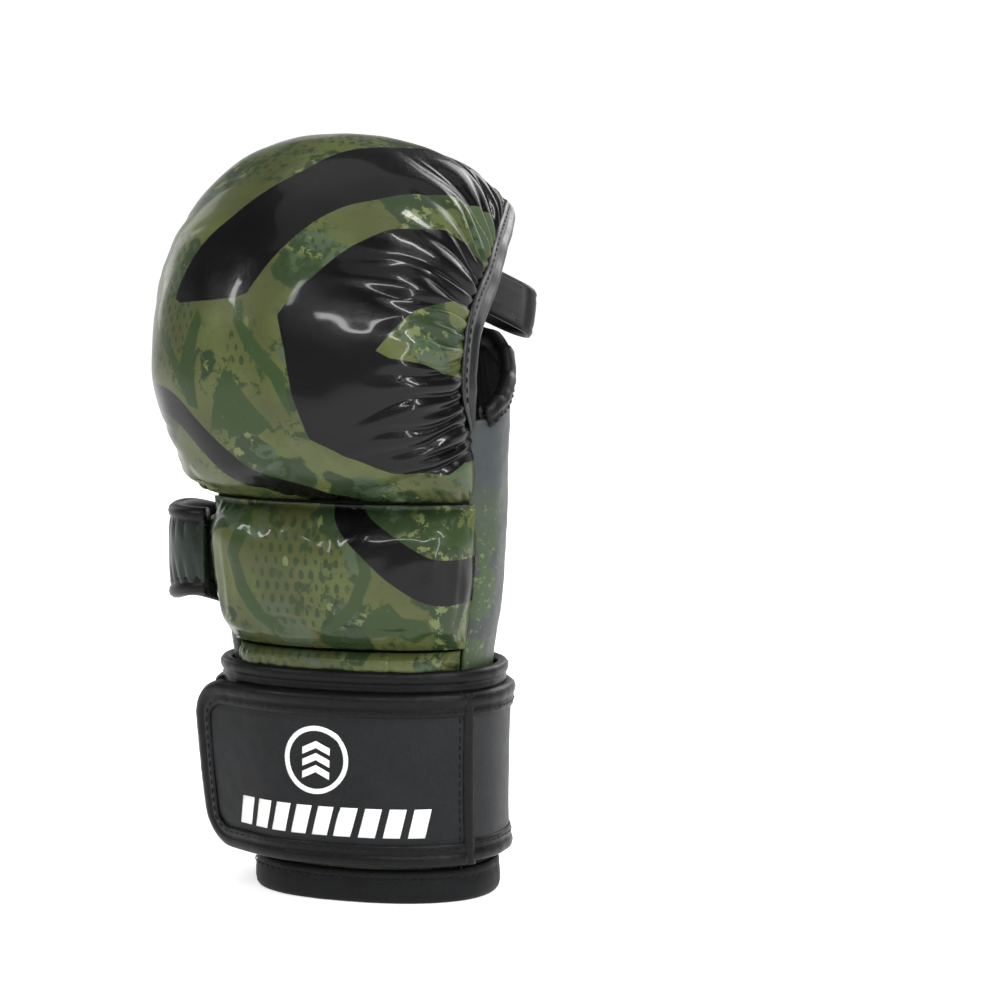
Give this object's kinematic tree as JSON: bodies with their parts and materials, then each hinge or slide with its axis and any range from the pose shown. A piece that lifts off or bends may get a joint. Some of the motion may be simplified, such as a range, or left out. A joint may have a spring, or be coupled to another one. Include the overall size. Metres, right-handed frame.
{
  "type": "mma glove",
  "caption": "Right-hand open-palm MMA sparring glove with a padded curved knuckle hood, finger loops, thumb loop and wide wrist strap.",
  "frame": {"origin": "centre of the bounding box's bottom face, on the cuff hem's plane", "axes": "+Z from the cuff hem towards the finger hood, +Y out of the palm, -Y the back of the hand, +X the little-finger side, -X the thumb side"},
  "size_m": [0.1232, 0.1172, 0.2544],
  "materials": {
    "printed_leather": "glossy coated synthetic leather with a dark camouflage print",
    "strap_leather": "matt fine-grain synthetic leather",
    "palm_leather": "matt synthetic leather with a speckled camouflage print",
    "binding": "satin rolled edge binding",
    "lining": "black textile",
    "foam": "closed-cell foam",
    "hook_and_loop": "hook-and-loop tape",
    "badge_print": "raised white print"
  },
  "bodies": {
    "cuff": {"wrist_lining": "lining", "cuff_palm_shell": "palm_leather", "wrist_pad_foam": "foam", "wrist_pad_cover": "printed_leather", "cuff_hem_binding": "binding", "strap_first_turn": "strap_leather", "first_turn_binding": "binding", "strap_side_panel": "strap_leather", "strap_palm_panel": "strap_leather", "strap_fixed_top_binding": "binding", "strap_fixed_lower_binding": "binding", "loop_fastener_patch": "hook_and_loop"},
    "strap_flap": {"flap_panel": "strap_leather", "flap_top_binding": "binding", "flap_lower_binding": "binding", "flap_badge": "badge_print"},
    "strap_tip": {"tip_panel": "strap_leather", "tip_top_binding": "binding", "tip_lower_binding": "binding", "tip_end_binding": "binding", "hook_fastener_patch": "hook_and_loop"},
    "hand": {"back_pad_foam": "foam", "back_pad_cover": "printed_leather", "side_gusset": "strap_leather", "palm_heel_panel": "palm_leather", "palm_panel": "palm_leather", "grip_patch_upper": "palm_leather", "grip_patch_lower": "palm_leather", "thumb_opening_binding": "binding", "palm_top_binding": "binding"},
    "thumb_loop": {"thumb_loop_band": "strap_leather", "thumb_loop_lining": "lining", "thumb_loop_upper_binding": "binding", "thumb_loop_lower_binding": "binding"},
    "hood": {"hood_lining": "lining", "hood_inner_foam": "foam", "hood_outer_foam": "foam", "hood_cover": "printed_leather", "hood_rim_little_side": "binding", "hood_rim_thumb_side": "binding", "hood_rim_front": "binding", "loop_anchor_tape": "lining"},
    "finger_loop_index": {"finger_loop_index": "strap_leather"},
    "finger_loop_middle": {"finger_loop_middle": "strap_leather"},
    "finger_loop_ring": {"finger_loop_ring": "strap_leather"},
    "finger_loop_little": {"finger_loop_little": "strap_leather"}
  },
  "joints": [
    {"name": "wrist_flex", "type": "hinge", "parent": "cuff", "child": "hand", "pos_m": [0.00917, -0.02762, 0.0842], "axis": [-1, 0, 0], "range_deg": [-8, 5], "stiffness_Nm_per_rad": 3, "deforming": ["wrist_lining"]},
    {"name": "knuckle_flex", "type": "hinge", "parent": "hand", "child": "hood", "pos_m": [0.00917, -0.02462, 0.1337], "axis": [-1, 0, 0], "range_deg": [0, 3], "stiffness_Nm_per_rad": 2},
    {"name": "strap_open", "type": "hinge", "parent": "cuff", "child": "strap_flap", "pos_m": [0.05307, -0.02062, 0.043], "axis": [0, 0, 1], "range_deg": [0, 110]},
    {"name": "strap_tip_peel", "type": "hinge", "parent": "strap_flap", "child": "strap_tip", "pos_m": [-0.01943, -0.03062, 0.043], "axis": [0, 0, 1], "range_deg": [0, 60]},
    {"name": "thumb_loop_tilt", "type": "hinge", "parent": "hand", "child": "thumb_loop", "pos_m": [-0.03883, 0.00438, 0.114], "axis": [0, 1, 0], "range_deg": [-4, 4], "stiffness_Nm_per_rad": 0.1},
    {"name": "index_loop_swing", "type": "hinge", "parent": "hood", "child": "finger_loop_index", "pos_m": [0.00917, 0.00238, 0.2155], "axis": [1, 0, 0], "range_deg": [-3, 8], "stiffness_Nm_per_rad": 0.05},
    {"name": "middle_loop_swing", "type": "hinge", "parent": "hood", "child": "finger_loop_middle", "pos_m": [0.00917, 0.00238, 0.2155], "axis": [1, 0, 0], "range_deg": [-2, 8], "stiffness_Nm_per_rad": 0.05},
    {"name": "ring_loop_swing", "type": "hinge", "parent": "hood", "child": "finger_loop_ring", "pos_m": [0.00917, 0.00238, 0.2155], "axis": [1, 0, 0], "range_deg": [-2, 8], "stiffness_Nm_per_rad": 0.05},
    {"name": "little_loop_swing", "type": "hinge", "parent": "hood", "child": "finger_loop_little", "pos_m": [0.00917, 0.00238, 0.2155], "axis": [1, 0, 0], "range_deg": [-3, 5], "stiffness_Nm_per_rad": 0.05}
  ]
}
